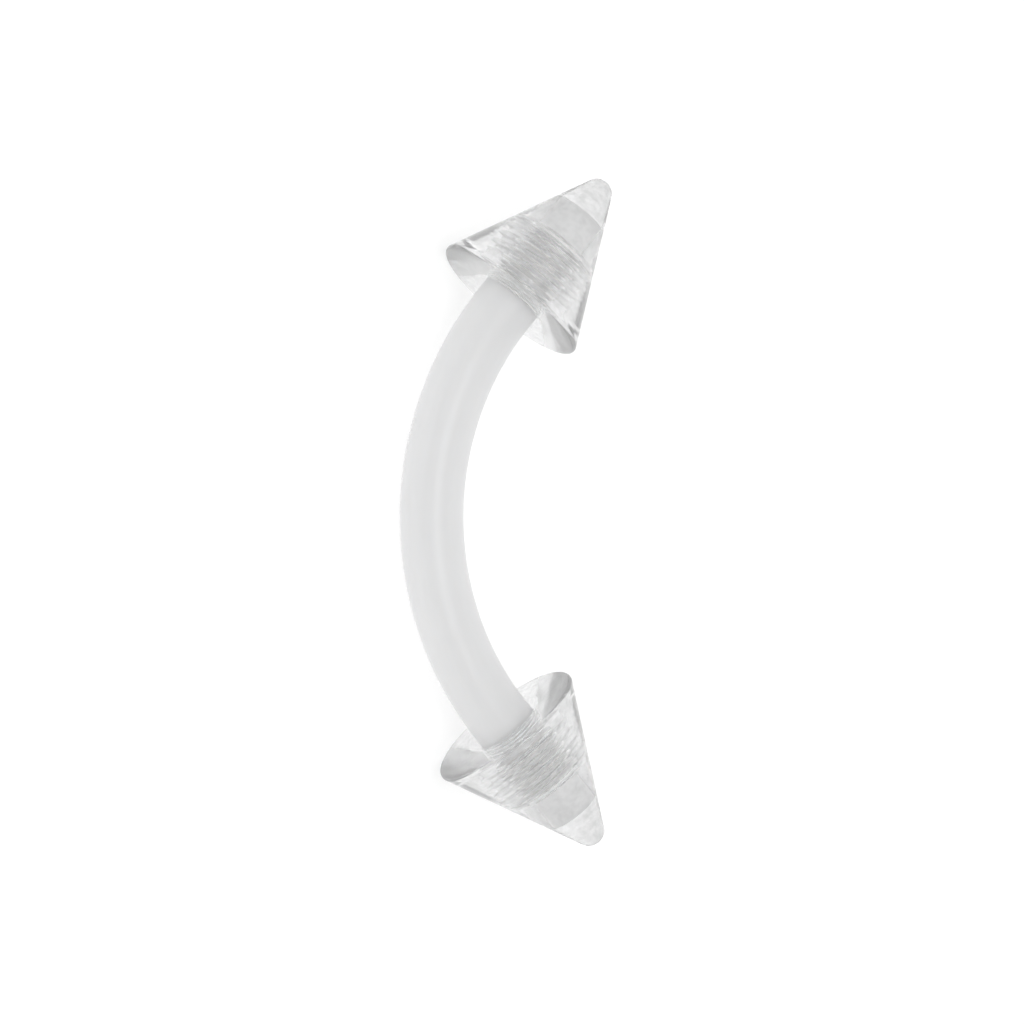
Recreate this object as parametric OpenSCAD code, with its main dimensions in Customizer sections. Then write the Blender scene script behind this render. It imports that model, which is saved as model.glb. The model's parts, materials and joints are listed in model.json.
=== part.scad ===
// Curved eyebrow barbell: a bent bar with a threaded post at each end, and a
// clear cone screwed onto each post. It lies as it rests by itself, on the rims
// of both cones and the underside of its bow, with both tips raised.
// Sizes are in millimetres.

/* [Bar] */
// Diameter of the bar
bar_d = 1.2; // [0.9:0.05:1.6]
// Straight distance between the bases of the two cones
wear_len = 8; // [6:0.5:12]
// How far the middle of the bow stands off the line between the cone bases
bow = 1.5; // [0.8:0.1:2.4]
// Straight stretch of bar between the bend and the base of a cone
straight_len = 0.1; // [0.05:0.05:0.8]

/* [Cones] */
// Diameter of a cone at its base
cone_d = 3.1; // [2.9:0.1:5]
// Height of a cone from its base to its tip
cone_h = 3; // [2.8:0.1:6]
// Radius of the rounded tip
tip_r = 0.3; // [0.15:0.05:0.5]
// Radius of the rounded edge round the base
edge_r = 0.06; // [0.02:0.01:0.12]

/* [Thread] */
// Pitch of the thread
pitch = 0.25; // [0.15:0.01:0.28]
// Turns of thread on a post
turns = 4; // [3:1:5]
// How far the crests of the thread lie under the surface of the bar
thread_step = 0.05; // [0.02:0.01:0.1]
// Free depth of a hole past the end of its post, before the hole narrows
hole_spare = 0.08; // [0.05:0.01:0.2]
// Diameter of the narrower drilled hole past the thread
drill_d = 0.95; // [0.7:0.05:1]
// Wall left between the bottom edge of the drilled hole and the cone's flank
drill_wall = 0.1; // [0.08:0.01:0.2]

/* [Fits] */
// Depth of the smooth mouth of a hole, which takes the end of the full bar
mouth_len = 0.25; // [0.2:0.01:0.3]
// Width and depth of the countersink round the mouth of a hole
sink = 0.15; // [0.05:0.01:0.18]
// Gap all round the bar in the mouth of a hole
mouth_gap = 0.02; // [0.01:0.005:0.05]
// Gap all round between the thread crests of a post and of its hole
thread_gap = 0.015; // [0.01:0.005:0.04]
// Gap between the shoulder of the bar and the floor of the mouth
seat_gap = 0.02; // [0.01:0.005:0.04]

/* [Hidden] */
$fn = 96;

// Form of the thread: its depths and its flat crest as shares of the pitch
post_thread_h = 0.5 * pitch;
hole_thread_h = 0.34 * pitch;
crest_w = pitch / 8;
flank_slope = tan(30);
// Bevel at the free end of a post
post_bevel = pitch / 8;
// Half the point angle of the drill that cuts a hole to the width of its thread
drill_half_angle = 59;
// Degrees by which each half of the bend runs past the middle before it is cut
past_middle = 2;
// Steps along the rounded tip and along the rounded edge of a cone
tip_steps = 14;
edge_steps = 8;

bar_r = bar_d / 2;
cone_r = cone_d / 2;

// The bend: its half angle and its radius follow from the length, the bow and
// the straight stretches
bend_half = 2 * atan(bow / (wear_len / 2 + straight_len));
bend_r = (wear_len / 2 - straight_len * cos(bend_half)) / sin(bend_half);

// The post and the hole, as radii and as heights above the base of the cone
thread_r = bar_r - thread_step;
hole_r = thread_r + thread_gap;
mouth_r = bar_r + mouth_gap;
post_end = mouth_len + turns * pitch;
hole_end = post_end + hole_spare;
drill_r = drill_d / 2;

// Slope of the cone's flank, which touches both the edge's and the tip's arc
tip_z = cone_h - tip_r;
edge_x = cone_r - edge_r;
flank_half = atan(edge_x / (tip_z - edge_r)) - asin((tip_r - edge_r) / norm([edge_x, tip_z - edge_r]));

// Height of the drilled hole's flat bottom, which leaves its wall to the flank
bottom_in = (edge_x - drill_r) * cos(flank_half) + edge_r * (1 + sin(flank_half)) - drill_wall;
drill_end = bottom_in / sin(flank_half);

// How the barbell lies: the sine of its plane's tilt at which the underside of
// the bow is as low as the rims of the cones, solved from the two depths
bow_reach = bow + edge_r * sin(bend_half);
bow_extra = bar_r - edge_r;
rim_lean = edge_x * sin(bend_half);
lie_a = bow_reach * bow_reach + rim_lean * rim_lean;
lie_b = bow_reach * bow_extra;
lie_c = bow_extra * bow_extra - edge_x * edge_x;
tilt = asin((sqrt(lie_b * lie_b - lie_a * lie_c) - lie_b) / lie_a);
lift = bow * sin(tilt) + bar_r;

// Furthest reach to the bow's side and to the tips' side, seen from above
level_lean = edge_x * sqrt(1 - pow(sin(bend_half) * cos(tilt), 2)) + edge_r;
edge_side = edge_r * sin(bend_half) * cos(tilt);
bow_side = max(bow * cos(tilt) + bar_r, level_lean - edge_side);
tip_side = max(tip_z * sin(bend_half) * cos(tilt) + tip_r, level_lean + edge_side);

// Points of an arc round [x, z], from angle a to angle b
function arc(x, z, r, a, b, steps) =
    [for (i = [0:steps]) let (t = a + (b - a) * i / steps) [x + r * cos(t), z + r * sin(t)]];

// One ring of thread in section: its middle at z, its root at radius root and
// its crest at radius crest, inside or outside the root
function ring(z, root, crest) =
    let (run = abs(crest - root) * flank_slope, flat = crest_w / 2)
    [[root, z - flat - run], [crest, z - flat], [crest, z + flat], [root, z + flat + run]];

function rings(first_z, count, root, crest) =
    [for (i = [0:count - 1]) each ring(first_z + i * pitch, root, crest)];

// Section of a post with the straight stretch below it; z = 0 is the cone's base
function post_section() =
    let (root = thread_r - post_thread_h)
    concat(
        [[0, -straight_len], [bar_r, -straight_len], [bar_r, mouth_len - seat_gap]],
        [[root, mouth_len - seat_gap]],
        rings(mouth_len + pitch / 2, turns, root, thread_r),
        [[root, post_end - post_bevel], [root - post_bevel, post_end], [0, post_end]]
    );

// Section of a cone with its blind hole, threaded for the post, then narrower and
// drilled flat at the bottom
function cone_section() =
    let (root = hole_r + hole_thread_h)
    concat(
        [[mouth_r + sink, 0]],
        arc(edge_x, edge_r, edge_r, -90, flank_half, edge_steps),
        arc(0, tip_z, tip_r, flank_half, 90, tip_steps),
        [[0, drill_end], [drill_r, drill_end]],
        [[drill_r, hole_end + (hole_r - drill_r) / tan(drill_half_angle)], [hole_r, hole_end]],
        [[hole_r, post_end + crest_w / 2], [root, post_end - hole_thread_h * flank_slope]],
        [for (i = [turns - 1:-1:1]) let (r = ring(mouth_len + i * pitch, root, hole_r))
            each [r[3], r[2], r[1], r[0]]],
        [[root, mouth_len], [mouth_r, mouth_len], [mouth_r, sink]]
    );

// Stands its children on the base of the upper cone, along the post's axis
module at_upper_base() {
    translate([0, wear_len / 2, 0])
        rotate([0, 0, -bend_half])
            rotate([-90, 0, 0])
                children();
}

module at_lower_base() {
    mirror([0, 1, 0]) at_upper_base() children();
}

// Lays the upright barbell down as it rests, centred over the origin
module lying() {
    translate([0, (bow_side - tip_side) / 2, lift])
        rotate([tilt, 0, 0])
            rotate([0, 0, 90])
                children();
}

// Half of the bend, from the straight stretch to a little past the middle
module half_bend() {
    translate([bend_r, 0, -straight_len])
        rotate([90, 0, 0])
            rotate([0, 0, 180])
                rotate_extrude(angle = bend_half + past_middle)
                    translate([bend_r, 0])
                        circle(r = bar_r);
}

module post() {
    rotate_extrude() polygon(post_section());
}

// The upper half of the bar, cut off square at the middle of the bow
module half_bar() {
    reach = wear_len + cone_h;
    intersection() {
        at_upper_base() {
            half_bend();
            post();
        }
        translate([-reach, 0, -reach]) cube([2 * reach, reach, 2 * reach]);
    }
}

module cone() {
    rotate_extrude() polygon(cone_section());
}

module curved_bar() {
    color([0.87, 0.88, 0.89])
        lying() {
            half_bar();
            mirror([0, 1, 0]) half_bar();
        }
}

module upper_cone() {
    color([0.80, 0.86, 0.92, 0.45]) lying() at_upper_base() cone();
}

module lower_cone() {
    color([0.80, 0.86, 0.92, 0.45]) lying() at_lower_base() cone();
}

curved_bar();
upper_cone();
lower_cone();
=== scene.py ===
"""Looks of the curved eyebrow barbell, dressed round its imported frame.

The barbell is a bent bar of milky plastic with a clear acrylic cone on each end.
Meshes are worked out in millimetres, first as straight turned pieces whose axis
is Z, and are then bent, laid down and scaled to the frame's metres.
"""
import json
import logging
import math
from dataclasses import dataclass
from enum import Enum
from typing import Any, Mapping, Optional, Sequence, Union

import bpy
from mathutils import Matrix, Vector


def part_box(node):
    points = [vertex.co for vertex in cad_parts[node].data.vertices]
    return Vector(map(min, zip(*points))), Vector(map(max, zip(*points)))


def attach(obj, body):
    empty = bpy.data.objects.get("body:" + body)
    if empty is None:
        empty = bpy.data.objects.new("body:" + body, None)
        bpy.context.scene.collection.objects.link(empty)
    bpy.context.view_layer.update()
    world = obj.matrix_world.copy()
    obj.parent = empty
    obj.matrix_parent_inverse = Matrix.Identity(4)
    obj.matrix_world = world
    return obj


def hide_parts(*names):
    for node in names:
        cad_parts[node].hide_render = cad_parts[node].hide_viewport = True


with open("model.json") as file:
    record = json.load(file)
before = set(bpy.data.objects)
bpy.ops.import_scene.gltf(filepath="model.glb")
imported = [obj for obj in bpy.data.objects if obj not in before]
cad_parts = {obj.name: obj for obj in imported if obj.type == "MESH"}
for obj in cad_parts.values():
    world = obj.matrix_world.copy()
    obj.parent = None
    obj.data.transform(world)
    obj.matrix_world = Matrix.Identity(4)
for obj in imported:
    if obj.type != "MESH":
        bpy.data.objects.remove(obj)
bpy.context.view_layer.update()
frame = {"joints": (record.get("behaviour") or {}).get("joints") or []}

log = logging.getLogger("barbell")

MM = 0.001
IMAGE_PIXELS = 1024
TURNED = "turned"

Point = tuple[float, float]
Outline = list[Point]
Colour = tuple[float, float, float, float]


class Wire:
    """One output socket of a node tree, on which Python's operators work."""

    def __init__(self, board: "Board", socket: bpy.types.NodeSocket) -> None:
        """Keeps the socket and the board that its nodes go on."""
        self.board = board
        self.socket = socket

    def __add__(self, other: "Operand") -> "Wire":
        """Adds."""
        return self.board.math("ADD", self, other)

    def __radd__(self, other: "Operand") -> "Wire":
        """Adds, with the number first."""
        return self.board.math("ADD", other, self)

    def __sub__(self, other: "Operand") -> "Wire":
        """Subtracts."""
        return self.board.math("SUBTRACT", self, other)

    def __rsub__(self, other: "Operand") -> "Wire":
        """Subtracts from a number."""
        return self.board.math("SUBTRACT", other, self)

    def __mul__(self, other: "Operand") -> "Wire":
        """Multiplies."""
        return self.board.math("MULTIPLY", self, other)

    def __rmul__(self, other: "Operand") -> "Wire":
        """Multiplies, with the number first."""
        return self.board.math("MULTIPLY", other, self)

    def __truediv__(self, other: "Operand") -> "Wire":
        """Divides."""
        return self.board.math("DIVIDE", self, other)

    def __rtruediv__(self, other: "Operand") -> "Wire":
        """Divides a number."""
        return self.board.math("DIVIDE", other, self)

    def __neg__(self) -> "Wire":
        """Turns the sign."""
        return self.board.math("MULTIPLY", self, -1.0)


Operand = Union[Wire, float, int]
Tint = Union[Wire, Colour]


def grey(level: float) -> Colour:
    """Gives an opaque grey."""
    return (level, level, level, 1.0)


def swing(noise: Wire, depth: float) -> Wire:
    """Turns a noise from 0 to 1 into a change of up to half the depth either way."""
    return (noise - 0.5) * depth


def live(sockets: bpy.types.bpy_prop_collection, name: str) -> bpy.types.NodeSocket:
    """Gives the socket of a name that the node's settings leave in use."""
    return next(s for s in sockets if s.name == name and s.enabled)


@dataclass(frozen=True)
class Speckle:
    """Scale and detail of one noise, on millimetres."""

    scale: float
    detail: float = 3.0


class Board:
    """Adds nodes to one shader or geometry tree."""

    def __init__(self, tree: bpy.types.NodeTree) -> None:
        """Keeps the tree."""
        self.tree = tree

    def node(
        self,
        kind: str,
        *values: Any,
        settings: Optional[Mapping[str, Any]] = None,
        named: Optional[Mapping[str, Any]] = None,
    ) -> bpy.types.Node:
        """Makes one node.

        Args:
            kind: The node's type.
            values: A value or wire for each of its first sockets; None leaves one.
            settings: Properties of the node, set before its sockets.
            named: Values or wires by socket name.

        Returns:
            The node.
        """
        made = self.tree.nodes.new(kind)
        for key, value in (settings or {}).items():
            setattr(made, key, value)
        for socket, value in zip(made.inputs, values):
            self.plug(socket, value)
        self.fill(made, named or {})
        return made

    def fill(self, made: bpy.types.Node, named: Mapping[str, Any]) -> None:
        """Sets or links sockets of a node by name."""
        for name, value in named.items():
            self.plug(made.inputs[name], value)

    def plug(self, socket: bpy.types.NodeSocket, value: Any) -> None:
        """Links a wire to a socket, or sets the socket's own value.

        Args:
            socket: The input socket.
            value: A wire, a plain value, or None to leave the socket alone.
        """
        if isinstance(value, Wire):
            self.tree.links.new(value.socket, socket)
        elif value is not None:
            socket.default_value = value

    def out(self, made: bpy.types.Node, key: Union[int, str] = 0) -> Wire:
        """Gives one output of a node as a wire."""
        return Wire(self, made.outputs[key])

    def math(self, operation: str, *values: Operand) -> Wire:
        """Adds a Math node and gives its result."""
        return self.out(self.node("ShaderNodeMath", *values, settings={"operation": operation}))

    def smooth_step(self, value: Operand, low: Operand, high: Operand) -> Wire:
        """Gives a mask that rises smoothly.

        Args:
            value: What is masked by.
            low: Where the mask is still 0.
            high: Where the mask is 1.

        Returns:
            The mask.
        """
        made = self.node(
            "ShaderNodeMapRange",
            settings={"interpolation_type": "SMOOTHSTEP"},
            named={"Value": value, "From Min": low, "From Max": high},
        )
        return self.out(made, "Result")

    def noise(self, place: Wire, speckle: Speckle) -> Wire:
        """Adds a noise from 0 to 1."""
        named = {"Scale": speckle.scale, "Detail": speckle.detail}
        return self.out(self.node("ShaderNodeTexNoise", place, named=named))

    def bump(self, height: Wire, strength: float, depth: float) -> Wire:
        """Gives the normals of a fine relief, whose depth is in millimetres."""
        named = {"Strength": strength, "Distance": depth * MM, "Height": height}
        return self.out(self.node("ShaderNodeBump", named=named))

    def turned_place(self) -> Wire:
        """Gives each point's place on the straight turned piece, in millimetres."""
        return self.out(
            self.node("ShaderNodeAttribute", settings={"attribute_name": TURNED}), "Vector"
        )

    def scaled(self, vector: Union[Wire, Sequence[float]], share: Operand) -> Wire:
        """Multiplies a vector or a colour by one number."""
        settings, named = {"operation": "SCALE"}, {"Scale": share}
        return self.out(self.node("ShaderNodeVectorMath", vector, settings=settings, named=named))

    def blend(self, share: Operand, start: Tint, stop: Tint) -> Wire:
        """Mixes two colours.

        Args:
            share: How much of the second colour shows, from 0 to 1.
            start: The first colour.
            stop: The second colour.

        Returns:
            The mixed colour.
        """
        made = self.node("ShaderNodeMix", settings={"data_type": "RGBA", "blend_type": "MIX"})
        for name, value in (("Factor", share), ("A", start), ("B", stop)):
            self.plug(live(made.inputs, name), value)
        return Wire(self, live(made.outputs, "Result"))

    def vector(self, x: Operand, y: Operand, z: Operand) -> Wire:
        """Joins three numbers to a vector."""
        return self.out(self.node("ShaderNodeCombineXYZ", x, y, z))

    def split(self, vector: Wire) -> tuple[Wire, Wire, Wire]:
        """Gives the three parts of a vector."""
        made = self.node("ShaderNodeSeparateXYZ", vector)
        return self.out(made, 0), self.out(made, 1), self.out(made, 2)


@dataclass(frozen=True)
class ThreadForm:
    """Sizes of the fine screw thread and of the hole's mouth, in millimetres.

    step is how far the crests lie under the bar's surface, gap what the crests of
    post and hole leave between them, and spare the hole's free depth past the post.
    mouth_len and sink are the depths of the smooth mouth and of its countersink, and
    mouth_gap and seat_gap are what the bar's end leaves free in it. The shares are of
    the pitch: the thread's depth on the post and in the hole, and the post's bevel.
    """

    pitch: float = 0.25
    turns: int = 4
    step: float = 0.05
    gap: float = 0.015
    spare: float = 0.08
    mouth_len: float = 0.25
    mouth_gap: float = 0.02
    seat_gap: float = 0.02
    sink: float = 0.15
    post_share: float = 0.5
    hole_share: float = 0.34
    bevel_share: float = 0.125
    rows_a_turn: int = 30

    @property
    def length(self) -> float:
        """Length of the threaded stretch of a post."""
        return self.pitch * self.turns

    @property
    def post_end(self) -> float:
        """Height of a post's free end above the base of its cone."""
        return self.mouth_len + self.length

    @property
    def hole_end(self) -> float:
        """Height of the end of a hole's round wall above the base."""
        return self.post_end + self.spare


@dataclass(frozen=True)
class BarbellSizes:
    """Driving sizes of the barbell, in millimetres, with what follows from them.

    wear_len is the straight distance between the bases of the cones, bow is how far
    the bar's middle stands off that line, and straight is the unbent bar before each
    base. drill_wall is the wall between the drilled hole's bottom edge and the flank.
    """

    bar_d: float = 1.2
    wear_len: float = 8.0
    bow: float = 1.5
    straight: float = 0.1
    cone_d: float = 3.1
    cone_h: float = 3.0
    tip_r: float = 0.3
    edge_r: float = 0.06
    drill_d: float = 0.95
    drill_wall: float = 0.1
    drill_half_angle: float = math.radians(59)
    thread: ThreadForm = ThreadForm()

    @property
    def bar_r(self) -> float:
        """Radius of the bar."""
        return self.bar_d / 2

    @property
    def bend_half(self) -> float:
        """Half the angle of the bend, in radians."""
        return 2 * math.atan(self.bow / (self.wear_len / 2 + self.straight))

    @property
    def bend_r(self) -> float:
        """Radius of the bend's middle line."""
        half = self.wear_len / 2 - self.straight * math.cos(self.bend_half)
        return half / math.sin(self.bend_half)

    @property
    def half_bar(self) -> float:
        """Length of middle line from the middle of the bow to a cone's base."""
        return self.bend_r * self.bend_half + self.straight

    @property
    def thread_r(self) -> float:
        """Radius of the crests of a post's thread."""
        return self.bar_r - self.thread.step

    @property
    def post_root(self) -> float:
        """Radius of the roots of a post's thread."""
        return self.thread_r - self.thread.post_share * self.thread.pitch

    @property
    def hole_r(self) -> float:
        """Radius of the crests of a hole's thread."""
        return self.thread_r + self.thread.gap

    @property
    def hole_root(self) -> float:
        """Radius of the roots of a hole's thread."""
        return self.hole_r + self.thread.hole_share * self.thread.pitch

    @property
    def drill_r(self) -> float:
        """Radius of the narrower drilled hole past the thread."""
        return self.drill_d / 2

    @property
    def drill_end(self) -> float:
        """Height of the drilled hole's flat bottom.

        Returns:
            The height above the base that leaves the wall to the flank.
        """
        lean = math.sin(self.flank_half)
        across = (self.edge_x - self.drill_r) * math.cos(self.flank_half)
        return (across + self.edge_r * (1 + lean) - self.drill_wall) / lean

    @property
    def edge_x(self) -> float:
        """Distance of the rim's rounding centre from the cone's axis."""
        return self.cone_d / 2 - self.edge_r

    @property
    def flank_half(self) -> float:
        """Angle between the cone's flank and its axis.

        Returns:
            The angle in radians, for a flank that touches the rim's and tip's arcs.
        """
        rise = self.cone_h - self.tip_r - self.edge_r
        lean = math.asin((self.tip_r - self.edge_r) / math.hypot(self.edge_x, rise))
        return math.atan(self.edge_x / rise) - lean


class ConeEnd(Enum):
    """The two ends of the bar, with what differs between their cones."""

    UPPER = ("upper_cone", "upper_end", "upper_cone_unscrew", 1)
    LOWER = ("lower_cone", "lower_end", "lower_cone_unscrew", -1)

    def __init__(self, node: str, body: str, joint: str, side: int) -> None:
        """Keeps the names of the node, body and joint, and the side.

        Args:
            node: The cone's node in the frame.
            body: The body that it rides on.
            joint: The joint that takes it off its post.
            side: 1 for the upper end, -1 for the lower one.
        """
        self.node = node
        self.body = body
        self.joint = joint
        self.side = side


def joint_axis(name: str) -> Vector:
    """Gives the unit axis of one of the frame's joints.

    Args:
        name: The joint's name.

    Returns:
        The axis in the frame.
    """
    found = next(joint for joint in frame["joints"] if joint["name"] == name)
    return Vector(found["axis"]).normalized()


@dataclass(frozen=True)
class Lie:
    """How the upright barbell is laid down in the frame.

    Upright, X points to the tips' side, Y from the lower cone to the upper one,
    and Z to the viewer, with the middle of the line between the bases at zero.
    tilt is in radians, and forward and lift are moves in millimetres.
    """

    tilt: float
    forward: float
    lift: float

    @classmethod
    def from_frame(cls, sizes: BarbellSizes) -> "Lie":
        """Works out the lie from the frame's joints and boxes.

        Args:
            sizes: The barbell's sizes.

        Returns:
            The tilt in radians and the two moves in millimetres.
        """
        axis = joint_axis(ConeEnd.UPPER.joint)
        tilt = math.atan2(axis.z, axis.y)
        low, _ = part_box("curved_bar")
        forward = low.y / MM + sizes.bow * math.cos(tilt) + sizes.bar_r
        lift = low.z / MM + sizes.bow * math.sin(tilt) + sizes.bar_r
        return cls(tilt, forward, lift)

    def matrix(self) -> Matrix:
        """Gives the move from the upright barbell to the frame, in millimetres."""
        turn = Matrix.Rotation(self.tilt, 4, "X") @ Matrix.Rotation(math.pi / 2, 4, "Z")
        return Matrix.Translation((0, self.forward, self.lift)) @ turn


def cone_matrix(sizes: BarbellSizes, end: ConeEnd) -> Matrix:
    """Stands a turned cone on its base at one end of the upright barbell.

    Args:
        sizes: The barbell's sizes.
        end: Which end.

    Returns:
        The move from the cone's own axes, base at zero and tip up Z.
    """
    upper = (
        Matrix.Translation((0, sizes.wear_len / 2, 0))
        @ Matrix.Rotation(-sizes.bend_half, 4, "Z")
        @ Matrix.Rotation(-math.pi / 2, 4, "X")
    )
    return upper if end.side > 0 else Matrix.Rotation(math.pi, 4, "X") @ upper


def rows(start: Point, stop: Point, count: int) -> Outline:
    """Divides a straight stretch of outline.

    Args:
        start: Where it starts; this point is left out.
        stop: Where it ends; this point is the last one.
        count: How many points to give.

    Returns:
        The points.
    """
    return [
        (
            start[0] + (stop[0] - start[0]) * i / count,
            start[1] + (stop[1] - start[1]) * i / count,
        )
        for i in range(1, count + 1)
    ]


def arc(centre: Point, radius: float, first: float, last: float, count: int) -> Outline:
    """Divides a round stretch of outline.

    Args:
        centre: Its centre.
        radius: Its radius.
        first: The angle of its first point, in radians.
        last: The angle of its last point, in radians.
        count: How many steps to make.

    Returns:
        The points, both ends included.
    """
    turn = [first + (last - first) * i / count for i in range(count + 1)]
    return [(centre[0] + radius * math.cos(t), centre[1] + radius * math.sin(t)) for t in turn]


@dataclass(frozen=True)
class ThreadRun:
    """Where a thread stands on a turned piece, as the tree's inputs.

    It grows from the radius root by height, which is negative for a thread that
    grows inwards, between the heights first and last, counted from base. phase is
    in turns, and fade is the length of its run-out at each end.
    """

    root: float
    height: float
    first: float
    last: float
    phase: float
    base: float
    pitch: float
    fade: float


@dataclass(frozen=True)
class Bend:
    """The bend of a turned piece; a half angle of zero leaves it straight."""

    radius: float = 1.0
    half_angle: float = 0.0
    bow: float = 0.0


class TurnedTree:
    """Geometry Nodes that turn an outline round Z, cut its thread and bend it.

    WELD is how near points are welded, and ROOT_SLACK is how far off the root's
    radius a point of the thread may lie, in millimetres. ROOT_FLAT and CREST_FLAT
    are the levels of the thread's wave below and above which it is flat.
    """

    INPUTS = (
        ("Outline", "NodeSocketGeometry"),
        ("Facets Around", "NodeSocketInt"),
        ("Pitch", "NodeSocketFloat"),
        ("Thread Root", "NodeSocketFloat"),
        ("Thread Height", "NodeSocketFloat"),
        ("Thread First", "NodeSocketFloat"),
        ("Thread Last", "NodeSocketFloat"),
        ("Thread Fade", "NodeSocketFloat"),
        ("Thread Phase", "NodeSocketFloat"),
        ("Thread Base", "NodeSocketFloat"),
        ("Bend Radius", "NodeSocketFloat"),
        ("Bend Half Angle", "NodeSocketFloat"),
        ("Bow", "NodeSocketFloat"),
        ("Finish", "NodeSocketMaterial"),
    )
    WELD = 1e-5
    ROOT_SLACK = 1e-3
    ROOT_FLAT = 0.06
    CREST_FLAT = 0.94

    def __init__(self) -> None:
        """Builds the tree once for all turned pieces."""
        self.tree = bpy.data.node_groups.new("turned_piece", "GeometryNodeTree")
        for name, kind in self.INPUTS:
            self.tree.interface.new_socket(name, in_out="INPUT", socket_type=kind)
        self.tree.interface.new_socket("Piece", in_out="OUTPUT", socket_type="NodeSocketGeometry")
        self.board = Board(self.tree)
        self.entry = self.board.node("NodeGroupInput")
        turned = self._turn()
        threaded = self._cut_thread(turned)
        kept = self._remember_place(threaded)
        bent = self._bend(kept)
        self._finish(bent)

    def _given(self, name: str) -> Wire:
        """Gives one of the tree's own inputs as a wire."""
        return self.board.out(self.entry, name)

    def _place(self) -> Wire:
        """Gives the position of each point."""
        return self.board.out(self.board.node("GeometryNodeInputPosition"))

    def _moved(self, shape: Wire, position: Wire, chosen: Optional[Wire] = None) -> Wire:
        """Puts the points of a shape at new positions."""
        made = self.board.node("GeometryNodeSetPosition", shape, chosen, position)
        return self.board.out(made)

    def _turn(self) -> Wire:
        """Turns the outline's points round Z.

        Returns:
            A closed skin, welded at its seam and poles.
        """
        board = self.board
        outline = self._given("Outline")
        size = board.node("GeometryNodeAttributeDomainSize", outline)
        count = board.out(size, "Point Count")
        around = self._given("Facets Around")
        grid = board.node("GeometryNodeMeshGrid", 1.0, 1.0, around + 1, count)
        # The grid's X runs once round the axis, and its Y along the outline
        x, y, _ = board.split(self._place())
        angle = (x + 0.5) * math.tau
        index = board.math("ROUND", (y + 0.5) * (count - 1))
        sample = board.node(
            "GeometryNodeSampleIndex",
            settings={"data_type": "FLOAT_VECTOR", "domain": "POINT"},
            named={"Geometry": outline, "Value": self._place(), "Index": index},
        )
        radius, _, height = board.split(board.out(sample, "Value"))
        place = board.vector(
            radius * board.math("COSINE", angle), radius * board.math("SINE", angle), height
        )
        skin = self._moved(board.out(grid, "Mesh"), place)
        weld = board.node("GeometryNodeMergeByDistance", skin, None, self.WELD)
        return board.out(weld)

    def _cut_thread(self, shape: Wire) -> Wire:
        """Raises a right-hand thread on the points that lie at its root radius.

        Args:
            shape: The turned skin.

        Returns:
            The skin with its thread, or as it was where it has none.
        """
        board = self.board
        x, y, z = board.split(self._place())
        radius = board.math("SQRT", x * x + y * y)
        # Below the middle the height and the turn change sign together, so the hand
        # of the thread stays the same on both posts
        side = board.math("SIGN", z)
        height = board.math("ABSOLUTE", z) - self._given("Thread Base")
        turn = side * board.math("ARCTAN2", y, x) / math.tau
        phase = height / self._given("Pitch") - turn - self._given("Thread Phase")
        wave = 0.5 + 0.5 * board.math("COSINE", phase * math.tau)
        crest = board.smooth_step(wave, self.ROOT_FLAT, self.CREST_FLAT)
        first, last = self._given("Thread First"), self._given("Thread Last")
        fade = self._given("Thread Fade")
        rise = board.smooth_step(height, first, first + fade)
        fall = board.smooth_step(height, last, last - fade)
        grown = radius + self._given("Thread Height") * crest * rise * fall
        scale = grown / radius
        off_root = board.math("ABSOLUTE", radius - self._given("Thread Root"))
        chosen = board.math("LESS_THAN", off_root, self.ROOT_SLACK)
        return self._moved(shape, board.vector(x * scale, y * scale, z), chosen)

    def _remember_place(self, shape: Wire) -> Wire:
        """Stores each point's place on the straight piece, for the finishes to read.

        Args:
            shape: The straight piece.

        Returns:
            The same shape with the attribute.
        """
        store = self.board.node(
            "GeometryNodeStoreNamedAttribute",
            settings={"data_type": "FLOAT_VECTOR", "domain": "POINT"},
            named={"Geometry": shape, "Name": TURNED},
        )
        self.board.plug(live(store.inputs, "Value"), self._place())
        return self.board.out(store)

    def _bend(self, shape: Wire) -> Wire:
        """Bends the piece about its middle, towards +X upright, with straight ends.

        Args:
            shape: The straight piece.

        Returns:
            The bent piece, or the straight one where the half angle is zero.
        """
        board = self.board
        x, y, z = board.split(self._place())
        radius, half = self._given("Bend Radius"), self._given("Bend Half Angle")
        # along is the part of the height that is bent, and past the straight rest
        run = radius * half
        along = board.math("MINIMUM", board.math("MAXIMUM", z, -run), run)
        past = z - along
        angle = along / radius
        out = radius - x
        sine, cosine = board.math("SINE", angle), board.math("COSINE", angle)
        bent = board.vector(
            radius - self._given("Bow") - out * cosine + past * sine,
            out * sine + past * cosine,
            -y,
        )
        asked = board.math("GREATER_THAN", half, 0.0)
        return self._moved(shape, bent, asked)

    def _finish(self, shape: Wire) -> None:
        """Ends the tree with real geometry in its material.

        Args:
            shape: The finished shape.
        """
        board = self.board
        real = board.node("GeometryNodeRealizeInstances", shape)
        painted = board.node(
            "GeometryNodeSetMaterial",
            named={"Geometry": board.out(real), "Material": self._given("Finish")},
        )
        board.node("NodeGroupOutput", board.out(painted))

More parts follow.
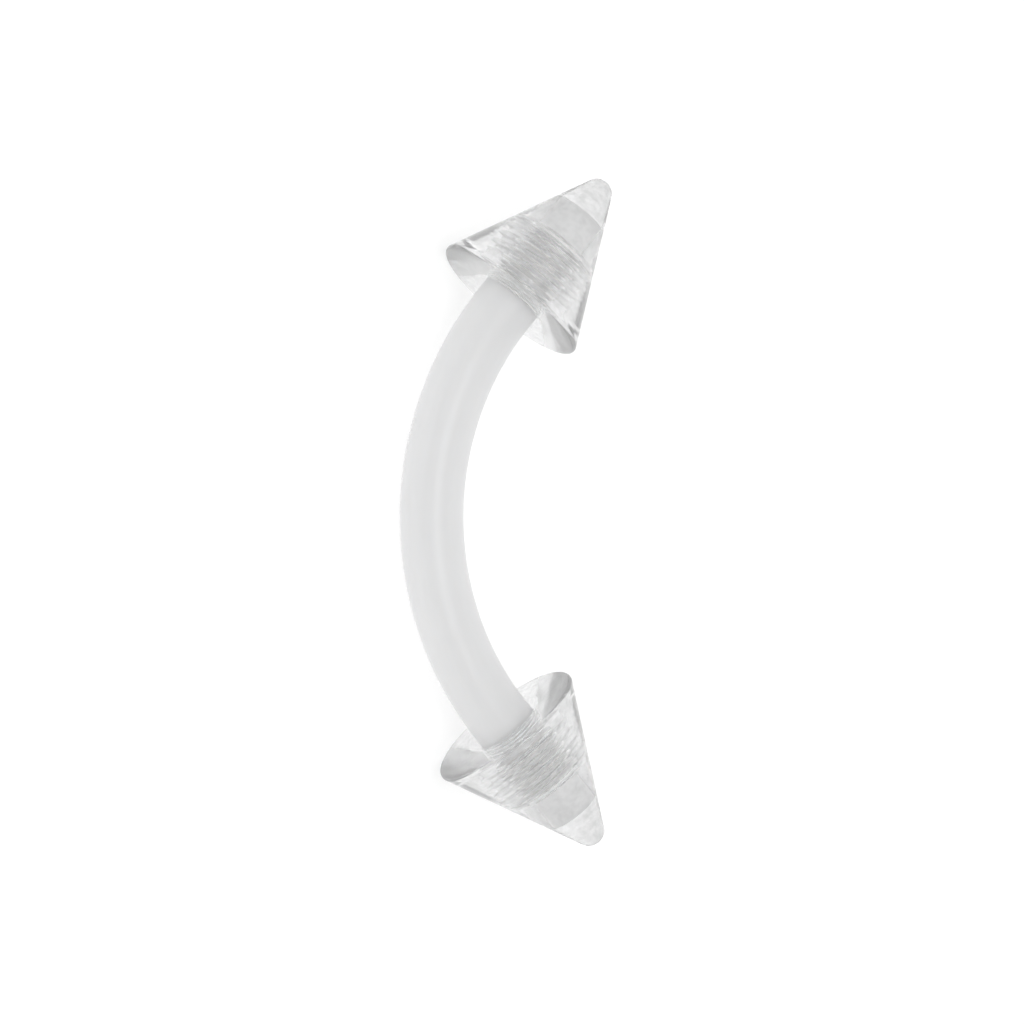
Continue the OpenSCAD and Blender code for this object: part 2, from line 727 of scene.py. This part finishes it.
    def make(
        self,
        name: str,
        outline: Outline,
        around: int,
        run: ThreadRun,
        bend: Bend,
        finish: bpy.types.Material,
    ) -> bpy.types.Object:
        """Makes one turned piece as a plain mesh, in millimetres.

        Args:
            name: The piece's name.
            outline: Radius and height of each point, from axis to axis.
            around: Facets round the axis.
            run: Its thread.
            bend: Its bend.
            finish: Its material.

        Returns:
            The piece, with no modifier left on it.
        """
        line = bpy.data.meshes.new(name + "_outline")
        points = [(r, 0.0, z) for r, z in outline]
        line.from_pydata(points, [(i, i + 1) for i in range(len(points) - 1)], [])
        piece = bpy.data.objects.new(name, line)
        bpy.context.scene.collection.objects.link(piece)
        turning = piece.modifiers.new("turning", "NODES")
        turning.node_group = self.tree
        values = {
            "Facets Around": around,
            "Pitch": run.pitch,
            "Thread Root": run.root,
            "Thread Height": run.height,
            "Thread First": run.first,
            "Thread Last": run.last,
            "Thread Fade": run.fade,
            "Thread Phase": run.phase,
            "Thread Base": run.base,
            "Bend Radius": bend.radius,
            "Bend Half Angle": bend.half_angle,
            "Bow": bend.bow,
            "Finish": finish,
        }
        for item in self.tree.interface.items_tree:
            if item.in_out == "INPUT" and item.name in values:
                turning[item.identifier] = values[item.name]
        bpy.context.view_layer.update()
        ready = piece.evaluated_get(bpy.context.evaluated_depsgraph_get())
        mesh = bpy.data.meshes.new_from_object(ready)
        piece.modifiers.remove(turning)
        piece.data = mesh
        bpy.data.meshes.remove(line)
        mesh.name = name
        return piece


def shade(piece: bpy.types.Object, sharp_degrees: float) -> None:
    """Smooths a piece's faces but for edges sharper than an angle."""
    piece.data.shade_smooth()
    piece.data.set_sharp_from_angle(angle=math.radians(sharp_degrees))


def start_material(name: str) -> tuple[bpy.types.Material, Board, bpy.types.Node]:
    """Starts a material that has one Principled shader.

    Args:
        name: The material's name.

    Returns:
        The material, a board for its nodes, and the shader.
    """
    material = bpy.data.materials.new(name)
    material.use_nodes = True
    board = Board(material.node_tree)
    return material, board, material.node_tree.nodes["Principled BSDF"]


@dataclass(frozen=True)
class MilkyPlastic:
    """Finish of the bar: slightly see-through white plastic with a waxy sheen.

    Lengths are in millimetres. The posts are painted whiter than the bar, as painted light
    that brightens them inside the cones: that tone sets in between its start and full
    heights before the mouth's floor.
    """

    sizes: BarbellSizes
    name: str = "bar_plastic"
    slot: str = "bar_plastic"
    tone: tuple[float, float, float] = (0.80, 0.802, 0.805)
    painted_light_tone: float = 0.97
    painted_light_start: float = 0.08
    painted_light_full: float = 0.03
    cloud: Speckle = Speckle(1.6)
    streak: Speckle = Speckle(9.0)
    grain: Speckle = Speckle(40.0, 2.0)
    streak_stretch: float = 0.08
    cloud_depth: float = 0.03
    sheen_roughness: float = 0.34
    streak_roughness: float = 0.12
    grain_roughness: float = 0.06
    streak_relief: float = 0.7
    grain_relief: float = 0.3
    relief_strength: float = 0.12
    relief_depth: float = 0.004
    index: float = 1.35
    scatter: float = 0.2
    scatter_radius: tuple[float, float, float] = (1.0, 0.98, 0.95)

    def build(self) -> bpy.types.Material:
        """Makes the material.

        Returns:
            The material, patterned on the straight rod's own place.
        """
        material, board, shader = start_material(self.name)
        place = board.turned_place()
        x, y, z = board.split(place)
        drawn = board.vector(x, y, z * self.streak_stretch)
        cloud = board.noise(place, self.cloud)
        streak = board.noise(drawn, self.streak)
        grain = board.noise(place, self.grain)
        shift = 1.0 + swing(cloud, self.cloud_depth) + swing(streak, self.cloud_depth)
        # The post is painted whiter from just before the mouth's floor: painted light for the
        # light that reaches it through the acrylic
        mouth_floor = self.sizes.half_bar + self.sizes.thread.mouth_len
        cut = board.smooth_step(
            board.math("ABSOLUTE", z), mouth_floor - self.painted_light_start, mouth_floor - self.painted_light_full
        )
        relief = streak * self.streak_relief + grain * self.grain_relief
        sheen = self.sheen_roughness + swing(streak, self.streak_roughness)
        looks = {
            "Base Color": board.blend(cut, board.scaled(self.tone, shift), grey(self.painted_light_tone)),
            "Roughness": sheen + swing(grain, self.grain_roughness),
            "Normal": board.bump(relief, self.relief_strength, self.relief_depth),
            "IOR": self.index,
            "Subsurface Weight": 1.0,
            "Subsurface Radius": self.scatter_radius,
            "Subsurface Scale": self.scatter * MM,
        }
        board.fill(shader, looks)
        return material


@dataclass(frozen=True)
class ClearAcrylic:
    """Finish of the cones: polished, colourless acrylic with faint turning marks.

    Lengths are in millimetres. flank, base and tapped are the roughness of the
    outside, of the base and mouth, and of the thread and the hole past it.
    inner_start and inner_full are how far under the flank the inner surfaces begin.
    mark_stretch draws the turning marks out round the axis. The colour is painted darker
    towards the tip, as painted shade.
    """

    sizes: BarbellSizes
    name: str = "clear_acrylic"
    slot: str = "clear_acrylic"
    tone: tuple[float, float, float] = (0.92, 0.922, 0.924)
    clearness: float = 0.84
    index: float = 1.49
    flank: float = 0.07
    base: float = 0.03
    tapped: float = 0.34
    drilled_shade_tone: float = 0.89
    tip_shade_tone: float = 0.93
    tip_shade_start: float = 1.9
    tip_shade_full: float = 2.6
    inner_start: float = 0.04
    inner_full: float = 0.07
    soft_edge: float = 0.02
    drill_edge: float = 0.05
    marks: Speckle = Speckle(9.0)
    smear: Speckle = Speckle(2.2, 2.0)
    mottle: Speckle = Speckle(9.0)
    mark_stretch: float = 0.03
    smear_depth: float = 0.40
    mottle_depth: float = 0.60
    smear_roughness: float = 0.02
    mottle_roughness: float = 0.03
    mark_relief: float = 1.2
    mottle_relief: float = 0.1
    relief_strength: float = 0.3
    relief_depth: float = 0.008

    def build(self) -> bpy.types.Material:
        """Makes the material.

        Returns:
            The material, polished outside and frosted by the tools in the hole, with painted
            shade past the thread.
        """
        material, board, shader = start_material(self.name)
        place = board.turned_place()
        x, y, z = board.split(place)
        radius = board.math("SQRT", x * x + y * y)
        # below is how far a point lies under the flank, measured square to the axis
        slope = math.tan(self.sizes.flank_half)
        skin = self.sizes.cone_d / 2 + self.sizes.edge_r * slope
        below = skin - slope * z - radius
        inner = board.smooth_step(below, self.inner_start, self.inner_full)
        hole = inner * board.smooth_step(z, 0.0, self.soft_edge)
        round_axis = board.vector(x * self.mark_stretch, y * self.mark_stretch, z)
        marks = board.noise(round_axis, self.marks)
        smear = board.noise(place, self.smear)
        mottle = board.noise(place, self.mottle)
        smeared = self.flank + swing(smear, self.smear_roughness)
        outside = smeared + swing(mottle, self.mottle_roughness)
        polished = outside + (self.base - outside) * inner
        mouth, past_thread = self.sizes.thread.mouth_len, self.sizes.thread.hole_end
        threaded = hole * board.smooth_step(z, mouth - self.soft_edge, mouth + self.soft_edge)
        # The cone is painted darker towards its tip: painted shade
        tip = board.smooth_step(z, self.tip_shade_start, self.tip_shade_full) * (1.0 - self.tip_shade_tone)
        cloud = swing(smear, self.smear_depth) + swing(mottle, self.mottle_depth)
        # The drilled hole past the thread is painted darker than the threaded hole: painted shade
        # in the recess
        drilled = hole * board.smooth_step(
            z, past_thread - self.soft_edge, past_thread + self.drill_edge
        )
        inside = board.blend(drilled, grey(1.0), grey(self.drilled_shade_tone))
        relief = (marks * self.mark_relief + mottle * self.mottle_relief) * (1.0 - inner)
        looks = {
            "Base Color": board.blend(hole, board.scaled(self.tone, 1.0 - tip - cloud), inside),
            "Roughness": polished + (self.tapped - self.base) * threaded,
            "Normal": board.bump(relief, self.relief_strength, self.relief_depth),
            "IOR": self.index,
            "Transmission Weight": self.clearness,
        }
        board.fill(shader, looks)
        return material


@dataclass(frozen=True)
class PaleFloor:
    """Finish of the studio floor: a white light table that glows softly."""

    name: str = "pale_floor"
    tone: float = 0.40
    roughness: float = 0.9
    specular: float = 0.1
    glow: float = 0.70

    def build(self) -> bpy.types.Material:
        """Makes the material.

        Returns:
            The material, the same all over.
        """
        material, board, shader = start_material(self.name)
        looks = {
            "Base Color": grey(self.tone),
            "Roughness": self.roughness,
            "Specular IOR Level": self.specular,
            "Emission Color": grey(1.0),
            "Emission Strength": self.glow,
        }
        board.fill(shader, looks)
        return material


@dataclass
class CurvedBar:
    """The bent bar with its two threaded posts, as one piece.

    round_r is the rounding of its shoulders, in millimetres, which starts at
    round_from, in radians. fade is the thread's run-out as a share of the pitch.
    """

    sizes: BarbellSizes
    tree: TurnedTree
    lie: Lie
    around: int = 128
    rows_in_bend: int = 96
    shoulder_rows: int = 2
    round_rows: int = 3
    end_rows: int = 4
    round_r: float = 0.02
    round_from: float = 0.3
    fade: float = 0.6
    sharp: float = 50.0

    def outline(self) -> Outline:
        """Gives the straight rod's outline, from its lower end to its upper one.

        Returns:
            Radius and height of each point.
        """
        s, t = self.sizes, self.sizes.thread
        bevel = t.pitch * t.bevel_share
        shoulder = s.half_bar + t.mouth_len - t.seat_gap
        first = s.half_bar + t.mouth_len
        last = s.half_bar + t.post_end
        centre = (s.bar_r - self.round_r, shoulder - self.round_r)
        half: Outline = [(s.bar_r, 0.0)]
        half += rows(half[-1], (s.bar_r, s.half_bar), self.rows_in_bend // 2)
        half += rows(half[-1], (s.bar_r, centre[1]), self.shoulder_rows)
        half += arc(centre, self.round_r, self.round_from, math.pi / 2, self.round_rows)
        half += [(s.post_root, shoulder), (s.post_root, first)]
        half += rows(half[-1], (s.post_root, last - bevel), t.turns * t.rows_a_turn)
        half += [(s.post_root - bevel, last)]
        half += rows(half[-1], (0.0, last), self.end_rows)
        return [(r, -z) for r, z in reversed(half[1:])] + half

    def build(self, finish: MilkyPlastic) -> bpy.types.Object:
        """Makes the bar, lays it down and gives it to the frame.

        Args:
            finish: The bar's finish.

        Returns:
            The finished piece.
        """
        s, t = self.sizes, self.sizes.thread
        run = ThreadRun(
            root=s.post_root,
            height=s.thread_r - s.post_root,
            first=t.mouth_len,
            last=t.post_end,
            phase=0.5 + t.mouth_len / t.pitch,
            base=s.half_bar,
            pitch=t.pitch,
            fade=t.pitch * self.fade,
        )
        bend = Bend(s.bend_r, s.bend_half, s.bow)
        piece = self.tree.make(
            "milky_bar", self.outline(), self.around, run, bend, finish.build()
        )
        piece.data.transform(Matrix.Scale(MM, 4) @ self.lie.matrix())
        shade(piece, self.sharp)
        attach(piece, "bar")
        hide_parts("curved_bar")
        return piece


@dataclass
class ClearCone:
    """One clear cone with its blind threaded hole.

    crest_half and fade, the half width of the last crest and the thread's run-out,
    are shares of the pitch.
    """

    sizes: BarbellSizes
    tree: TurnedTree
    lie: Lie
    end: ConeEnd
    around: int = 192
    flank_rows: int = 40
    tip_rows: int = 20
    rim_rows: int = 10
    base_rows: int = 12
    sink_rows: int = 6
    step_rows: int = 3
    drill_rows: int = 10
    bottom_rows: int = 12
    crest_half: float = 0.1
    fade: float = 0.5
    sharp: float = 50.0

    def outline(self) -> Outline:
        """Gives the cone's outline, from the bottom of the hole to the tip.

        Returns:
            Radius and height of each point.
        """
        s, t = self.sizes, self.sizes.thread
        root, wall = s.hole_root, s.hole_r
        mouth = s.bar_r + t.mouth_gap
        top, point = t.post_end, math.tan(s.drill_half_angle)
        crest = t.pitch * self.crest_half
        drill_top = t.hole_end + (wall - s.drill_r) / point
        line: Outline = [(0.0, s.drill_end)]
        line += rows(line[-1], (s.drill_r, s.drill_end), self.bottom_rows)
        line += rows(line[-1], (s.drill_r, drill_top), self.drill_rows)
        line += rows(line[-1], (wall, t.hole_end), self.step_rows)
        line += rows(line[-1], (wall, top + crest), self.step_rows)
        line += [(root, top - crest)]
        line += rows(line[-1], (root, t.mouth_len), t.turns * t.rows_a_turn)
        line += [(mouth, t.mouth_len)]
        line += rows(line[-1], (mouth, t.sink), self.step_rows)
        line += rows(line[-1], (mouth + t.sink, 0.0), self.sink_rows)
        line += rows(line[-1], (s.edge_x, 0.0), self.base_rows)
        line += arc((s.edge_x, s.edge_r), s.edge_r, -math.pi / 2, s.flank_half, self.rim_rows)[1:]
        tip = arc((0.0, s.cone_h - s.tip_r), s.tip_r, s.flank_half, math.pi / 2, self.tip_rows)
        line += rows(line[-1], tip[0], self.flank_rows)
        return line + tip[1:-1] + [(0.0, s.cone_h)]

    def build(self, finish: ClearAcrylic, material: bpy.types.Material) -> bpy.types.Object:
        """Makes the cone, stands it on its end of the bar and gives it to the frame.

        Args:
            finish: The cones' finish.
            material: The material made from it.

        Returns:
            The finished piece.
        """
        s, t = self.sizes, self.sizes.thread
        run = ThreadRun(
            root=s.hole_root,
            height=s.hole_r - s.hole_root,
            first=t.mouth_len,
            last=t.post_end,
            phase=t.mouth_len / t.pitch,
            base=0.0,
            pitch=t.pitch,
            fade=t.pitch * self.fade,
        )
        piece = self.tree.make(
            "clear_" + self.end.node, self.outline(), self.around, run, Bend(), material
        )
        move = self.lie.matrix() @ cone_matrix(s, self.end)
        piece.data.transform(Matrix.Scale(MM, 4) @ move)
        shade(piece, self.sharp)
        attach(piece, self.end.body)
        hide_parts(self.end.node)
        return piece


@dataclass(frozen=True)
class PhotoView:
    """The photo's camera, as angles to the upright barbell.

    yaw, pitch and roll are in degrees, and distance and sensor in millimetres.
    distance and pixels_a_mm hold at the middle of the line between the cone bases,
    which the photo shows at middle_u, middle_v. near and far are in metres.
    """

    yaw: float = 20.14
    pitch: float = 2.0
    roll: float = -0.64
    distance: float = 79.5
    pixels_a_mm: float = 52.86
    middle_u: float = 506.6
    middle_v: float = 513.3
    sensor: float = 36.0
    near: float = 0.002
    far: float = 10.0


@dataclass
class Studio:
    """Floor, light, surroundings and camera. None of it is part of the object.

    Lengths are in metres and the lamp's power in watts. The surroundings grow from
    dark_side to bright_side between the directions dark_to and bright_from.
    """

    lie: Lie
    view: PhotoView = PhotoView()
    floor_half: float = 0.6
    dark_side: float = 0.5
    bright_side: float = 1.0
    dark_to: float = -0.4
    bright_from: float = 0.8
    lamp_place: tuple[float, float, float] = (0.0, -0.09, 0.13)
    lamp_side: float = 0.07
    lamp_power: float = 0.078

    def build(self) -> None:
        """Sets up the whole studio."""
        self.floor()
        self.surroundings()
        self.lamp()
        self.camera()

    def floor(self) -> None:
        """Lays a wide pale floor at the height that the barbell rests on."""
        half = self.floor_half
        mesh = bpy.data.meshes.new("floor")
        corners = [(-half, -half, 0), (half, -half, 0), (half, half, 0), (-half, half, 0)]
        mesh.from_pydata(corners, [], [(0, 1, 2, 3)])
        mesh.materials.append(PaleFloor().build())
        plane = bpy.data.objects.new("floor", mesh)
        bpy.context.scene.collection.objects.link(plane)

    def surroundings(self) -> None:
        """Fills the studio with soft light from all round, brighter past the tips."""
        world = bpy.data.worlds.new("studio")
        world.use_nodes = True
        ground = world.node_tree.nodes["Background"]
        board = Board(world.node_tree)
        _, past_tips, _ = board.split(board.out(board.node("ShaderNodeTexCoord"), "Generated"))
        rise = board.smooth_step(past_tips, self.dark_to, self.bright_from)
        extra = rise * (self.bright_side - self.dark_side)
        board.fill(ground, {"Color": grey(1.0), "Strength": self.dark_side + extra})
        bpy.context.scene.world = world
        bpy.context.scene.view_settings.view_transform = "Standard"

    def lamp(self) -> None:
        """Hangs a square soft light on the bow's side, facing the barbell."""
        data = bpy.data.lights.new("front", "AREA")
        data.shape = "SQUARE"
        data.size = self.lamp_side
        data.energy = self.lamp_power
        lamp = bpy.data.objects.new("front", data)
        place = Vector(self.lamp_place)
        facing = (-place).to_track_quat("-Z", "Y").to_matrix().to_4x4()
        lamp.matrix_world = Matrix.Translation(place) @ facing
        bpy.context.scene.collection.objects.link(lamp)

    def camera(self) -> None:
        """Puts the camera where the photo's was, seen from the upright barbell."""
        view = self.view
        turn = (
            Matrix.Rotation(math.radians(view.roll), 4, "Z")
            @ Matrix.Rotation(math.radians(view.pitch), 4, "X")
            @ Matrix.Rotation(math.radians(view.yaw), 4, "Y")
        )
        upright = turn.inverted() @ Matrix.Translation((0, 0, view.distance))
        placed = self.lie.matrix() @ upright
        placed.translation *= MM
        data = bpy.data.cameras.new("photo_camera")
        data.sensor_fit = "HORIZONTAL"
        data.sensor_width = view.sensor
        data.lens = view.pixels_a_mm * view.distance * view.sensor / IMAGE_PIXELS
        middle = IMAGE_PIXELS / 2
        data.shift_x = (middle - view.middle_u) / IMAGE_PIXELS
        data.shift_y = (view.middle_v - middle) / IMAGE_PIXELS
        data.clip_start = view.near
        data.clip_end = view.far
        eye = bpy.data.objects.new("photo_camera", data)
        eye.matrix_world = placed
        bpy.context.scene.collection.objects.link(eye)
        bpy.context.scene.camera = eye


def report(piece: bpy.types.Object) -> None:
    """Logs what a finished piece holds."""
    log.info("%s: %d faces", piece.name, len(piece.data.polygons))


def main() -> None:
    """Builds the barbell and its studio."""
    logging.basicConfig(level=logging.INFO, format="%(name)s: %(message)s")
    sizes = BarbellSizes()
    lie = Lie.from_frame(sizes)
    tree = TurnedTree()
    Studio(lie).build()
    report(CurvedBar(sizes, tree, lie).build(MilkyPlastic(sizes)))
    finish = ClearAcrylic(sizes)
    material = finish.build()
    for end in ConeEnd:
        report(ClearCone(sizes, tree, lie, end).build(finish, material))


if __name__ == "__main__":
    main()
